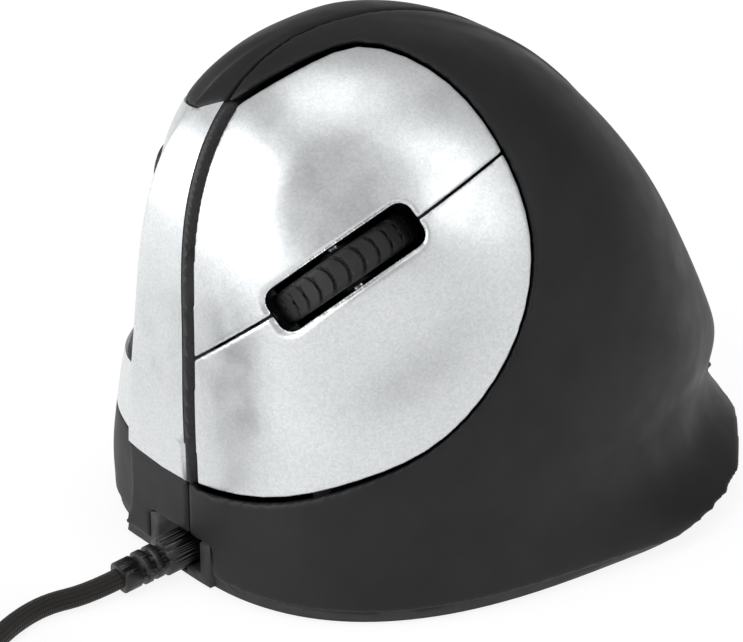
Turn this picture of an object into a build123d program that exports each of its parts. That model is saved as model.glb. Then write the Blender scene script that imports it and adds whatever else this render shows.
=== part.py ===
"""Vertical ergonomic mouse for the left hand, in millimetres.

The cable leaves towards -Y, the four fingers lie on +X, the thumb lies on -X and the hand comes
from +Y. The origin is on the desk under the middle of the mouse.
"""
from build123d import *
from math import atan, ceil, cos, exp, hypot, pi, radians, sin, tan
import os

os.makedirs("parts", exist_ok=True)

# Body, measured without its cable
half_length = 55.4
half_width = 40.5
body_height = 86.8
centring = -1.96
shell_wall = 2.6
finger_wall = 2.2
outline_steps = 40
button_wall = 1.6
shell_floor = 2.5
seam_gap = 0.15
edge_gap = 0.3
corner_gap = 1.0
fit_gap = 0.15
running_gap = 0.05
pin_fit = 0.02
beyond = 140.0

# Levels of the body as angles above the desk, and the shares of half_length or half_width there
level_angles = (0, 5, 10, 15, 20, 30, 40, 50, 60, 70, 80)
nose_shares = (-0.993, -0.992, -0.993, -0.996, -0.998, -0.993, -0.988, -0.957, -0.889, -0.787, -0.658)
tail_shares = (1.03, 0.90, 0.835, 0.786, 0.715, 0.571, 0.435, 0.295, 0.139, -0.048, -0.259)
finger_shares = (0.978, 0.985, 0.992, 0.997, 1.0, 0.972, 0.897, 0.787, 0.642, 0.463, 0.249)
thumb_shares = (-1.0, -0.995, -0.977, -0.925, -0.859, -0.665, -0.59, -0.555, -0.48, -0.343, -0.176)
flange_shares = (0.06, 0.09, -0.05, -0.026, 0, 0, 0, 0, 0, 0, 0)
# Lengthwise place of the widest points, low, half way up, high and at the crown
widest_angles = (0, 36, 72, 90)
finger_widest_shares = (-0.065, -0.07, -0.302, -0.4955)
thumb_widest_shares = (-0.358, -0.349, -0.34, -0.4955)
# Squareness of each quarter of a level, low, half way up and at the crown: 2 is an ellipse
square_angles = (0, 40, 90)
square_finger_front = (2.42, 2.2, 2.1)
square_finger_back = (1.92, 2.25, 2.07)
square_thumb_back = (2.34, 2.05, 1.97)
square_thumb_front = (2.57, 2.24, 2.25)
quarter_angles = (0, 15, 30, 45, 60, 75, 90)
flange_angle = 63
flange_spread = 25

# Underside that lifts off the desk at the rear of the finger side
lift_start = 36.0
lift_heading = 48
lift_angle = atan(0.25) * 180 / pi
lift_floor_thickness = 2.0

# Direction that the finger panel faces, and the wheel slot in it
finger_azimuth = 50
finger_elevation = 27
slot_centre = (24.1, -42.8, 60.0)
slot_tilt = 34.6
slot_length = 25.9
slot_width = 7.4
slot_corner = 2.2

# Outline of the silver finger panel about the slot centre, as shares of its reach
panel_reach = 34.0
panel_depth = 34.0
panel_outline_shares = (
    (-0.80, -0.93), (-0.58, -1.00), (-0.35, -1.024), (0.06, -0.938), (0.35, -0.81), (0.62, -0.545),
    (0.785, -0.19), (0.806, 0.16), (0.70, 0.475), (0.48, 0.78), (0.26, 0.925), (0.05, 0.968),
    (-0.145, 0.895), (-0.47, 0.706), (-0.72, 0.56),
)
panel_gap_shares = (1, 1, 0.9, 0.5, 0.1, 0, 0, 0, 0, 0.1, 0.4, 0.7, 1, 1, 1)
# Split between the two buttons in the tilted frame of the slot, as shares of its reach
split_shares = ((-0.88, 0.062), (0, -0.008), (0.94, 0.034))
split_gap = 0.4

# Ridge down the front between the two silver areas
ridge_width = 1.3
ridge_channel = 2.7
ridge_depth = 3.4
ridge_floor = (2.9, 3.9)
ridge_floor_width = 4.0
ridge_end_gap = 0.2
ridge_low = 17.6
ridge_high = 79.4
ridge_behind = -43.0

# Main buttons: hinge pin, barrels and plunger posts, in the frame of the slot
hinge_along = 21.0
hinge_depth = 11.5
pin_radius = 0.9
barrel_radius = 1.8
barrel_rib = 1.6
index_barrel = (1.8, 12.0)
middle_barrel = (-11.0, -1.8)
hinge_ears = ((-13.0, -11.4), (-1.2, 1.2), (12.4, 14.0))
ear_half_length = 1.8
post_along = -11.0
post_across = 8.8
post_half_length = 1.2
post_half_width = 1.4

# Inner frame, in the frame of the slot: a plate behind the panel on an upright wall
plate_top_depth = 20.0
plate_thickness = 2.0
plate_low = (-19.5, -24.0)
plate_high = (25.0, 14.5)
frame_inset = 4.3
upright_x = (17.5, 20.0)
upright_y = (-44.0, -8.0)
upright_foot_x = (13.5, 24.5)
upright_foot_y = (-34.0, -12.0)
upright_foot_height = 2.2
beyond_foot = 1.0

# Boards and switches
board_thickness = 1.6
finger_board_low = (-20.0, -15.0)
finger_board_high = (12.0, 12.5)
board_window_half_length = 11.0
board_window_half_width = 4.2
switch_size = (12.8, 5.8, 6.5)
switch_along = -9.1
plunger_size = (2.0, 2.4)
plunger_proud = 0.9
plunger_sunk = 1.5
plunger_room = 1.0
plunger_gap = 0.1
plunger_clearance = 0.1

# Wheel and its rocking carrier, in the frame of the slot
wheel_radius = 12.0
wheel_proud = 0.8
wheel_width = 5.2
tyre_thickness = 2.6
tyre_crown = 0.9
tread_count = 28
tread_depth = 0.5
tread_width = 0.6
tread_radius = 3.4
hub_rim = 1.8
hub_web = 1.6
hub_boss_radius = 2.8
hub_boss_width = 6.4
axle_radius = 1.25
axle_across = (-7.4, 5.0)
carrier_along = (-15.0, 18.2)
carrier_inside = (-13.0, 13.0)
carrier_half_width = 5.4
carrier_half_inside = 3.6
carrier_top_depth = 8.6
carrier_bottom_depth = 14.2
carrier_pin_along = 16.0
carrier_pin_radius = 0.8
carrier_ears = ((-7.2, -5.7), (5.7, 7.2))
encoder_along = (-2.2, 5.8)
encoder_across = (-8.8, -5.4)
encoder_half_height = 4.8
click_along = -14.2
click_size = 5.6
click_height = 3.2
click_plunger_radius = 1.4
click_plunger_sunk = 1.0

# Base, feet and screws
base_bottom = 0.6
base_top = 2.4
base_inset = 1.0
foot_length = 30.0
foot_width = 7.0
foot_places = ((3.0, -37.0), (-4.0, 31.0))
boss_radius = 3.0
boss_height = 12.0
boss_overlap = 0.8
screw_radius = 1.1
screw_head_radius = 2.1
screw_head_height = 1.1
screw_length = 9.0
drive_share = 0.75
boss_quarters = (48, 48, 52, 76)
frame_screw_x = 22.2
frame_screw_y = (-29.0, -17.0)
frame_screw_length = 2.4

# Cable port at the front
port_x = (-10.2, 5.2)
port_height = 7.9
port_gap = 0.2
port_wall_back = -47.2
port_throat_x = (-6.6, 1.4)
port_throat_back = -52.0
port_mouth_share = 0.1

# Main board and what it carries
main_board_low = (-22.0, -30.0)
main_board_high = (12.0, 22.0)
standoff_radius = 2.0
standoff_height = 4.6
standoff_inset = 3.0
lens_low = (-7.0, -12.0)
lens_high = (5.0, 4.0)
lens_nose_radius = 3.0
lens_nose_bottom = 1.3
chip_low = (-5.5, -10.0)
chip_high = (3.5, 2.0)
chip_height = 2.4
controller_low = (-18.0, 8.0)
controller_high = (-8.0, 18.0)
controller_height = 1.6
connector_low = (-10.0, -29.0)
connector_high = (0.0, -24.5)
connector_height = 4.5

# Thumb side: direction that it faces, and the outlines as shares of its reach
thumb_azimuth = -60
thumb_elevation = 15
thumb_reach = 50.0
thumb_near = 8.0
thumb_far = 70.0
thumb_skin = 1.3
thumb_pocket = 1.6
thumb_panel_shares = (
    (0.95, 0.198), (0.824, 0.148), (0.708, 0.132), (0.598, 0.124), (0.36, 0.136), (0.16, 0.20), (0.01, 0.32),
    (-0.105, 0.49), (-0.135, 0.68), (-0.07, 0.88), (0.15, 1.075), (0.40, 1.215), (0.682, 1.288), (0.784, 1.346),
)
thumb_panel_end_shares = ((0.798, 1.424), (1.04, 1.52), (1.04, 0.22))
rest_shares = (
    (0.794, 0.688), (0.786, 0.60), (0.81, 0.51), (0.79, 0.43), (0.75, 0.376), (0.65, 0.348), (0.40, 0.31),
    (0.15, 0.34), (-0.09, 0.43), (-0.25, 0.56), (-0.27, 0.68), (-0.19, 0.78), (0.04, 0.84), (0.32, 0.838),
    (0.60, 0.775), (0.794, 0.688),
)
rest_sunk = 0.5
thumb_bar_middle = (20.0, 48.4)
thumb_bar_length = 28.0
thumb_bar_height = 6.4
thumb_bar_tilt = 14
thumb_bar_split = 0.5
thumb_bar_proud = 0.7
thumb_bar_skin = 1.1
thumb_button_across = 7.2
thumb_travel = 0.7
thumb_board_half_length = 12.5
thumb_board_half_width = 8.4
thumb_face_height = 43.2
thumb_post_radius = 1.5
thumb_post_length = 1.6
thumb_switch_size = (6.0, 6.0, 3.5)
thumb_plunger_radius = 1.4
thumb_plunger_proud = 0.9
thumb_plunger_sunk = 1.2
thumb_pillar_radius = 2.0
thumb_pillar_across = 6.2

# Cable: straight boot axis, free stretch, put-away coil and plug
cable_diameter = 3.3
boot_origin = (-2.7, -54.9, 4.3)
boot_direction = (-0.08, -0.986, -0.14)
collar_radius = 3.1
collar_span = (-2.4, 3.3)
flange_radius = 2.8
flange_span = (-9.6, -8.2)
neck_radius = 2.2
boot_tip = 11.0
tip_radius = 2.6
tip_length = 2.6
ring_radius = 2.75
ring_length = 1.1
ring_starts = (4.3, 6.3)
boot_gap = 0.1
inner_cable_radius = 1.2
inner_cable_start = 4.0
inner_cable_points = ((-3.6, -36.5, 9.2), (-5.0, -33.2, 11.4))
lead_radius = 0.8
finger_lead_points = ((6.5, -48.3, 28.0), (7.5, -42.0, 19.0), (7.5, -34.0, 14.8), (7.5, -27.5, 13.6))
finger_lead_across = -4.0
finger_lead_run = 3.2
thumb_lead_points = ((-13.0, -21.0, 33.0), (-16.0, -11.0, 19.0), (-16.0, -7.0, 13.0))
thumb_lead_start = (20.0, 43.5)
thumb_lead_rise = 3.7
cable_start_run = 6.0
cable_points = (
    (-6.1, -77.8, 1.7),
    (-5.0, -84.3, 1.7),
    (-2.0, -91.0, 1.75),
    (1.2, -97.2, 2.2),
)
cable_end_run = 7.0
coil_middle = (-13.2, -122.8)
coil_radius = 23.5
coil_pitch = 4.1
coil_lift = 1.2
coil_layers = 4
turns_per_layer = 3
coil_entry_angle = 23.5
coil_tail_radius = 35.0
climb_turns = 0.25
turn_step = 0.01
run_share = 0.45
tie_angle = 107
tie_thickness = 0.9
tie_width = 5.0
tie_gap = 0.5
end_run_share = 1.05
plug_neck_length = 6.0
plug_neck_radius = 2.7
grip_size = (15.4, 7.8, 22.0)
grip_fillet = 2.2
usb_size = (12.0, 4.5, 18.5)
usb_wall = 0.35
usb_sunk = 1.0
tongue_size = (11.0, 1.8, 17.0)
tongue_raise = 0.95

world = Location()
overall = 2 * beyond


def block(place, low, high):
    """Box between two opposite corners in the frame of place."""
    size = [b - a for a, b in zip(low, high)]
    middle = [(a + b) / 2 for a, b in zip(low, high)]
    return place * Pos(*middle) * Box(*size)


def rod(place, x, y, radius, span):
    """Cylinder along the Z axis of place, from span's first value to its second."""
    return place * Pos(x, y, (span[0] + span[1]) / 2) * Cylinder(radius, abs(span[1] - span[0]))


def cross_rod(place, x, z, radius, span):
    """Cylinder along the Y axis of place."""
    middle = Pos(x, (span[0] + span[1]) / 2, z)
    return place * middle * Rot(90, 0, 0) * Cylinder(radius, abs(span[1] - span[0]))


def prism(place, outline, span):
    """Outline drawn in the XY plane of place, extruded over a span of its Z axis."""
    return place * Pos(0, 0, span[0]) * extrude(outline, amount=span[1] - span[0])


def facing(origin, azimuth, elevation, tilt=0):
    """Frame whose Z axis points out at an azimuth and elevation, with X to the right of it."""
    a, e, t = radians(azimuth), radians(elevation), radians(tilt)
    right = Vector(cos(a), sin(a), 0)
    up = Vector(-sin(a) * sin(e), cos(a) * sin(e), cos(e))
    out = Vector(sin(a) * cos(e), -cos(a) * cos(e), sin(e))
    return Plane(origin, x_dir=right * cos(t) + up * sin(t), z_dir=out).location


def between(angle, angles, values):
    """Value at an angle, in straight lines between the given ones."""
    for a, b, u, v in zip(angles, angles[1:], values, values[1:]):
        if angle <= b:
            return u + (v - u) * (angle - a) / (b - a)
    return values[-1]


def level_size(angle, inset):
    """Nose, tail, finger and thumb reach of one level, and the places of its widest points."""
    nose = half_length * between(angle, level_angles, nose_shares) + inset
    tail = half_length * between(angle, level_angles, tail_shares) - inset
    finger = half_width * between(angle, level_angles, finger_shares) - inset
    thumb = half_width * between(angle, level_angles, thumb_shares) + inset
    finger_at = half_length * between(angle, widest_angles, finger_widest_shares)
    thumb_at = half_length * between(angle, widest_angles, thumb_widest_shares)
    return nose, tail, finger, thumb, finger_at, thumb_at


def quarter_point(widest, widest_at, end, squareness, quarter):
    """Point of one quarter of a level: quarter 0 is the nose or tail, 90 is the widest point."""
    q = radians(quarter)
    x = widest * sin(q) ** (2 / squareness)
    y = widest_at + (end - widest_at) * cos(q) ** (2 / squareness) if quarter < 90 else widest_at
    return x, y


def flange_point(point, widest_at, angle, from_tail):
    """Moves a point of the finger side out for the flange under the little finger."""
    if point[0] == 0:
        return point
    bulge = between(angle, level_angles, flange_shares)
    factor = 1 + bulge * exp(-((from_tail - flange_angle) / flange_spread) ** 2)
    return point[0] * factor, widest_at + (point[1] - widest_at) * factor


def body_form(inset):
    """Whole hand-shaped body, drawn in all round by inset."""
    rings = []
    for angle in level_angles:
        nose, tail, finger, thumb, finger_at, thumb_at = level_size(angle, inset)
        ff = between(angle, square_angles, square_finger_front)
        fb = between(angle, square_angles, square_finger_back)
        tb = between(angle, square_angles, square_thumb_back)
        tf = between(angle, square_angles, square_thumb_front)
        front = [flange_point(quarter_point(finger, finger_at, nose, ff, q), finger_at, angle, 180 - q)
                 for q in quarter_angles]
        back = [flange_point(quarter_point(finger, finger_at, tail, fb, q), finger_at, angle, q)
                for q in reversed(quarter_angles)]
        thumb_back = [quarter_point(thumb, thumb_at, tail, tb, q) for q in quarter_angles]
        thumb_front = [quarter_point(thumb, thumb_at, nose, tf, q) for q in reversed(quarter_angles)]
        z = (body_height - inset) * sin(radians(angle))
        finger_side = [Vector(x, y, z) for x, y in front + back[1:]]
        thumb_side = [Vector(x, y, z) for x, y in thumb_back + thumb_front[1:]]
        right, left = Vector(1, 0, 0), Vector(-1, 0, 0)
        edges = [Edge.make_spline(finger_side, tangents=[right, left]),
                 Edge.make_spline(thumb_side, tangents=[left, right])]
        rings.append(Wire(edges))
    crown = Vertex(0, half_length * finger_widest_shares[-1], body_height - inset)
    return Part([Solid.make_loft(rings + [crown])])


forms = {}


def form(inset):
    """Body form for an inset, lofted once."""
    if inset not in forms:
        forms[inset] = body_form(inset)
    return forms[inset]


def skin(outer, inner, *regions):
    """Shell between two insets of the body form, inside every given region."""
    piece = form(outer)
    for region in regions:
        piece = piece & region
    return piece - form(inner)


def outline_face(shares, reach, extra=()):
    """Face inside a curve of short runs through points given as shares of reach, closed by lines."""
    curve = Spline(*[(u * reach, v * reach) for u, v in shares])
    points = [curve @ (i / outline_steps) for i in range(outline_steps + 1)]
    if shares[0] == shares[-1]:
        points.pop()
    points += [(u * reach, v * reach) for u, v in extra]
    return make_face(Polyline(*points, close=True))


def grown(shares, reach, gaps):
    """Shares of an outline moved out from its middle by the gap at each point."""
    moved = []
    for (u, v), gap in zip(shares, gaps):
        factor = 1 + gap / (reach * hypot(u, v))
        moved.append((u * factor, v * factor))
    return moved


def export(name, shape):
    """Writes one node, with the middle of the body's box over the origin."""
    export_step(Pos(centring, 0, 0) * shape, f"parts/{name}.step")
    return shape


def finger_half(bottom=0):
    """Everything on the finger side of the seam, from a height up."""
    return block(world, (seam_gap, -beyond, bottom), (beyond, beyond, beyond))


def thumb_half(bottom=0):
    return block(world, (-beyond, -beyond, bottom), (-seam_gap, beyond, beyond))


face_frame = facing(slot_centre, finger_azimuth, finger_elevation)
slot_frame = facing(slot_centre, finger_azimuth, finger_elevation, slot_tilt)
thumb_frame = facing((0, 0, 0), thumb_azimuth, thumb_elevation)
lift_frame = (Rot(0, 0, lift_heading) * Pos(lift_start, 0, shell_floor)) * Rot(0, -lift_angle, 0)

main_board_bottom = base_top + standoff_height
main_board_top = main_board_bottom + board_thickness
axle_depth = wheel_radius - wheel_proud
board_top_depth = plate_top_depth - board_thickness
thumb_place = thumb_frame * Pos(*thumb_bar_middle) * Rot(0, 0, thumb_bar_tilt)
thumb_switch_top = thumb_face_height - thumb_plunger_proud
thumb_board_top = thumb_switch_top - thumb_switch_size[2]
boot_frame = Plane(boot_origin, x_dir=(1, 0, 0), z_dir=boot_direction).location
switch_top_depth = board_top_depth - switch_size[2]
plunger_top_depth = switch_top_depth - plunger_proud
click_top_depth = board_top_depth - click_height
click_plunger_depth = carrier_bottom_depth + plunger_gap
ear_top_depth = hinge_depth - barrel_radius
pin_ear_top_depth = axle_depth - barrel_radius


def panel_prism(grow):
    """Space in front of the ridge channel inside the finger panel's outline."""
    shares = panel_outline_shares
    if grow:
        shares = grown(shares, panel_reach, [edge_gap + (corner_gap - edge_gap) * g for g in panel_gap_shares])
    outline = outline_face(shares, panel_reach)
    return prism(face_frame, outline, (-panel_depth, panel_depth / 2))


def port_box(gap, top):
    """Space of the cable notch in the front of the body."""
    return block(world, (port_x[0] + gap, -beyond, 0), (port_x[1] - gap, port_wall_back, top))


def boss_points():
    """Screw bosses of the base just inside the wall, one in each quarter of the body."""
    inset = shell_wall + boss_radius - boss_overlap
    nose, tail, finger, thumb, finger_at, thumb_at = level_size(level_angles[1], inset)
    quarters = boss_quarters
    return (quarter_point(finger, finger_at, nose, square_finger_front[0], quarters[0]),
            quarter_point(thumb, thumb_at, nose, square_thumb_front[0], quarters[1]),
            quarter_point(thumb, thumb_at, tail, square_thumb_back[0], quarters[2]),
            quarter_point(finger, finger_at, tail, square_finger_back[0], quarters[3]))


def shell_bosses(points):
    """Screw bosses fused to the inside of a shell, with pilot holes."""
    bosses = Part()
    for x, y in points:
        post = rod(world, x, y, boss_radius, (shell_floor, shell_floor + boss_height))
        bosses += post & form(shell_wall / 2)
    return bosses


def pilot_holes(points):
    holes = Part()
    for x, y in points:
        holes += rod(world, x, y, screw_radius, (0, base_bottom + screw_length + fit_gap))
    return holes


def lift_wedge():
    """Everything under the lifted rear underside."""
    return block(lift_frame, (0, -beyond, -beyond), (beyond, beyond, 0))


def lift_floor():
    """Floor of the shell over the lifted rear underside."""
    return form(0) & block(lift_frame, (fit_gap, -beyond, 0), (beyond, beyond, lift_floor_thickness))


def make_finger_shell():
    half = finger_half(shell_floor)
    shell = skin(0, finger_wall, half) + (lift_floor() & half) + (shell_bosses(boss_points()) & half)
    shell -= panel_prism(True) & block(world, (ridge_width, -beyond, 0), (beyond, beyond, beyond))
    shell -= block(world, (0, -beyond, ridge_low), (ridge_channel, ridge_behind, ridge_high))
    shell -= port_box(0, port_height)
    shell -= lift_wedge()
    shell -= pilot_holes(boss_points())
    return shell


def thumb_outlines():
    panel = outline_face(thumb_panel_shares, thumb_reach, thumb_panel_end_shares)
    rest = outline_face(rest_shares, thumb_reach)
    bar = Pos(*thumb_bar_middle) * Rot(0, 0, thumb_bar_tilt) * SlotOverall(thumb_bar_length, thumb_bar_height)
    return panel, rest, bar


def thumb_pillars():
    """Two pillars inside the thumb shell that the thumb board is held against."""
    pillars = Part()
    for across in (-thumb_pillar_across, thumb_pillar_across):
        pillars += rod(thumb_place, 0, across, thumb_pillar_radius, (thumb_board_top, thumb_far))
    return pillars & form((thumb_pocket + shell_wall) / 2)


def make_thumb_shell():
    panel, rest, bar = thumb_outlines()
    pocket = prism(thumb_frame, panel, (thumb_near, thumb_far)) + prism(thumb_frame, rest, (thumb_near, thumb_far))
    half = thumb_half(shell_floor)
    shell = skin(0, shell_wall, half) + (lift_floor() & half) + (shell_bosses(boss_points()) & half)
    shell -= pocket - form(thumb_pocket)
    shell -= prism(thumb_frame, bar, (thumb_near, thumb_far))
    shell += thumb_pillars()
    shell -= port_box(0, port_height)
    shell -= lift_wedge()
    shell -= pilot_holes(boss_points())
    return shell


def make_ridge_strip():
    """Textured strip down the front seam, with the dark floor of the gap beside it."""
    low, high = ridge_low + ridge_end_gap, ridge_high - ridge_end_gap
    back = ridge_behind - ridge_end_gap
    strip = skin(0, ridge_depth, block(world, (seam_gap, -beyond, low), (ridge_width, back, high)))
    return strip + skin(*ridge_floor, block(world, (seam_gap, -beyond, low), (ridge_floor_width, back, high)))


def split_region(side):
    """Space on one side of the split between the two buttons: 1 above it, -1 below it."""
    points = [(u * panel_reach, v * panel_reach + side * split_gap / 2) for u, v in split_shares]
    near, far = (-beyond, points[0][1]), (beyond, points[-1][1])
    edges = [Line(near, points[0]), ThreePointArc(*points), Line(points[-1], far)]
    edges += Polyline(far, (beyond, side * beyond), (-beyond, side * beyond), near).edges()
    return prism(slot_frame, make_face(edges), (-panel_depth, panel_depth))


def make_button(side, barrel):
    """One of the two main buttons: skin, hinge barrel with its rib and the post over the plunger."""
    region = panel_prism(False) & block(world, (ridge_channel, -beyond, 0), (beyond, beyond, beyond))
    wall = skin(0, button_wall, region & split_region(side))
    slot = RectangleRounded(slot_length, slot_width, slot_corner)
    wall -= prism(slot_frame, slot, (-carrier_top_depth, carrier_top_depth))
    rib = block(slot_frame, (hinge_along - barrel_rib / 2, barrel[0], -hinge_depth),
                (hinge_along + barrel_rib / 2, barrel[1], 0))
    post_y = side * post_across
    post = block(slot_frame, (post_along - post_half_length, post_y - post_half_width, plunger_gap - plunger_top_depth),
                 (post_along + post_half_length, post_y + post_half_width, 0))
    wall += (rib + post) & form(button_wall / 2)
    wall += cross_rod(slot_frame, hinge_along, -hinge_depth, barrel_radius, barrel)
    return wall - cross_rod(slot_frame, hinge_along, -hinge_depth, pin_radius + running_gap, barrel)


def make_thumb_panel():
    panel, rest, bar = thumb_outlines()
    piece = skin(0, thumb_skin, prism(thumb_frame, panel, (thumb_near, thumb_far)) & thumb_half())
    piece -= prism(thumb_frame, rest, (thumb_near, thumb_far))
    return piece - prism(thumb_frame, bar, (thumb_near, thumb_far))


def make_thumb_rest():
    panel, rest, bar = thumb_outlines()
    return skin(rest_sunk, thumb_skin, prism(thumb_frame, rest, (thumb_near, thumb_far)))


def make_thumb_button(side):
    """Thumb button in one half of the bar: 1 is the forward one, -1 the back one."""
    bar = SlotOverall(thumb_bar_length - 2 * edge_gap, thumb_bar_height - 2 * edge_gap)
    cut = thumb_bar_split / 2
    half = block(world, (cut, -beyond, -beyond), (beyond, beyond, beyond))
    if side < 0:
        half = block(world, (-beyond, -beyond, -beyond), (-cut, beyond, beyond))
    region = prism(thumb_place, bar, (thumb_near, thumb_far)) & (thumb_place * half)
    wall = skin(-thumb_bar_proud, thumb_bar_skin - thumb_bar_proud, region)
    span = (thumb_face_height + plunger_gap, thumb_far)
    post = rod(thumb_place, side * thumb_button_across, 0, thumb_post_radius, span)
    return wall + (post & form((thumb_bar_skin - thumb_bar_proud) / 2))


def make_inner_frame():
    """Frame that carries the hinge pin, the wheel's carrier and the finger board."""
    bottom = plate_top_depth + plate_thickness
    plate = block(slot_frame, (plate_low[0], plate_low[1], -bottom), (plate_high[0], plate_high[1], -plate_top_depth))
    plate -= block(slot_frame, (-board_window_half_length, -board_window_half_width, -beyond),
                   (board_window_half_length, board_window_half_width, beyond))
    upright = block(world, (upright_x[0], upright_y[0], base_top), (upright_x[1], upright_y[1], beyond))
    upright &= block(slot_frame, (-beyond, -beyond, -beyond), (beyond, beyond, -plate_top_depth - plate_thickness / 2))
    foot = block(world, (upright_foot_x[0], upright_foot_y[0], base_top),
                 (upright_foot_x[1], upright_foot_y[1], base_top + upright_foot_height))
    frame = (plate + upright + foot) & form(frame_inset)
    ears = Part()
    for low, high in hinge_ears:
        ears += block(slot_frame, (hinge_along - ear_half_length, low, -plate_top_depth - seam_gap),
                      (hinge_along + ear_half_length, high, -ear_top_depth))
    for low, high in carrier_ears:
        ears += block(slot_frame, (carrier_pin_along - ear_half_length, low, -plate_top_depth - seam_gap),
                      (carrier_pin_along + ear_half_length, high, -pin_ear_top_depth))
    frame += ears & form(button_wall + edge_gap)
    frame -= cross_rod(slot_frame, hinge_along, -hinge_depth, pin_radius + pin_fit, (-beyond, beyond))
    frame -= cross_rod(slot_frame, carrier_pin_along, -axle_depth, carrier_pin_radius + pin_fit, (-beyond, beyond))
    for y in frame_screw_y:
        frame -= rod(world, frame_screw_x, y, screw_radius, (0, base_top + upright_foot_height + beyond_foot))
    return frame


def make_finger_board():
    board = block(slot_frame, (finger_board_low[0], finger_board_low[1], -plate_top_depth),
                  (finger_board_high[0], finger_board_high[1], -board_top_depth))
    board -= block(slot_frame, (-board_window_half_length, -board_window_half_width, -beyond),
                   (beyond, board_window_half_width, beyond))
    return board & form(frame_inset)


def make_switch(side):
    """Switch under a main button and its plunger."""
    x, y = post_along, side * post_across
    sx, sy, sz = switch_size
    case = block(slot_frame, (switch_along - sx / 2, y - sy / 2, -board_top_depth),
                 (switch_along + sx / 2, y + sy / 2, -switch_top_depth))
    hx, hy = plunger_size[0] / 2, plunger_size[1] / 2
    gap = plunger_clearance
    case -= block(slot_frame, (x - hx - gap, y - hy - gap, -switch_top_depth - plunger_sunk - plunger_room),
                  (x + hx + gap, y + hy + gap, 0))
    plunger = block(slot_frame, (x - hx, y - hy, -switch_top_depth - plunger_sunk), (x + hx, y + hy, -plunger_top_depth))
    return case, plunger


def make_click_switch():
    half = click_size / 2
    case = block(slot_frame, (click_along - half, -half, -board_top_depth), (click_along + half, half, -click_top_depth))
    room = (-click_top_depth - click_plunger_sunk - plunger_room, 0)
    case -= rod(slot_frame, click_along, 0, click_plunger_radius + plunger_clearance, room)
    span = (-click_top_depth - click_plunger_sunk, -click_plunger_depth)
    return case, rod(slot_frame, click_along, 0, click_plunger_radius, span)


def make_thumb_switch(side):
    x = side * thumb_button_across
    sx, sy, sz = thumb_switch_size
    case = block(thumb_place, (x - sx / 2, -sy / 2, thumb_board_top), (x + sx / 2, sy / 2, thumb_switch_top))
    room = (thumb_switch_top - thumb_plunger_sunk - plunger_room, thumb_far)
    case -= rod(thumb_place, x, 0, thumb_plunger_radius + plunger_clearance, room)
    span = (thumb_switch_top - thumb_plunger_sunk, thumb_face_height)
    return case, rod(thumb_place, x, 0, thumb_plunger_radius, span)


def make_thumb_board():
    low = (-thumb_board_half_length, -thumb_board_half_width, thumb_board_top - board_thickness)
    high = (thumb_board_half_length, thumb_board_half_width, thumb_board_top)
    return block(thumb_place, low, high) & form(shell_wall + corner_gap)


def make_tyre():
    """Rubber tyre with a rounded tread and a crescent groove at each step of its turn."""
    half = wheel_width / 2
    tyre = fillet(cross_rod(world, 0, 0, wheel_radius, (-half, half)).edges(), tyre_crown)
    tyre -= cross_rod(world, 0, 0, wheel_radius - tyre_thickness, (-half, half))
    groove = rod(world, 0, 0, tread_radius, (wheel_radius - tread_depth, wheel_radius + wheel_proud))
    groove -= rod(world, 0, 0, tread_radius - tread_width, (0, beyond))
    groove &= block(world, (0, -half, 0), (beyond, half, beyond))
    grooves = Part()
    for i in range(tread_count):
        grooves += Rot(0, i * 360 / tread_count, 0) * Pos(tread_width - tread_radius, 0, 0) * groove
    return slot_frame * Pos(0, 0, -axle_depth) * (tyre - grooves)


def make_hub():
    half = wheel_width / 2
    outer = wheel_radius - tyre_thickness
    hub = cross_rod(world, 0, 0, outer, (-half, half)) - cross_rod(world, 0, 0, outer - hub_rim, (-half, half))
    hub += cross_rod(world, 0, 0, outer - hub_rim / 2, (-hub_web / 2, hub_web / 2))
    hub += cross_rod(world, 0, 0, hub_boss_radius, (-hub_boss_width / 2, hub_boss_width / 2))
    hub -= cross_rod(world, 0, 0, axle_radius + pin_fit, (-half - hub_boss_width, half + hub_boss_width))
    return slot_frame * Pos(0, 0, -axle_depth) * hub


def make_carrier():
    """Rocking frame round the wheel, with bores for the axle and for its own pin."""
    w = carrier_half_width
    ring = block(slot_frame, (carrier_along[0], -w, -carrier_bottom_depth), (carrier_along[1], w, -carrier_top_depth))
    ring -= block(slot_frame, (carrier_inside[0], -carrier_half_inside, -beyond),
                  (carrier_inside[1], carrier_half_inside, beyond))
    ring -= cross_rod(slot_frame, 0, -axle_depth, axle_radius + running_gap, (-2 * w, 2 * w))
    return ring - cross_rod(slot_frame, carrier_pin_along, -axle_depth, carrier_pin_radius + running_gap, (-2 * w, 2 * w))


def make_encoder():
    low = (encoder_along[0], encoder_across[0], -axle_depth - encoder_half_height)
    high = (encoder_along[1], encoder_across[1], encoder_half_height - axle_depth)
    case = block(slot_frame, low, high)
    return case - cross_rod(slot_frame, 0, -axle_depth, axle_radius + running_gap, (axle_across[0] - plunger_clearance, 0))


def base_shape(bottom, top):
    """Slice of the body's foot print between two heights, less the lifted rear."""
    slab = form(base_inset) & block(world, (-beyond, -beyond, bottom), (beyond, beyond, top))
    return slab - lift_wedge()


def boot_space():
    """Room that the boot needs in the port and in the front edge of the base."""
    room = rod(boot_frame, 0, 0, collar_radius + boot_gap, (collar_span[0] - boot_gap, beyond))
    return room + rod(boot_frame, 0, 0, neck_radius + boot_gap, (flange_span[0], boot_tip))


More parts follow.
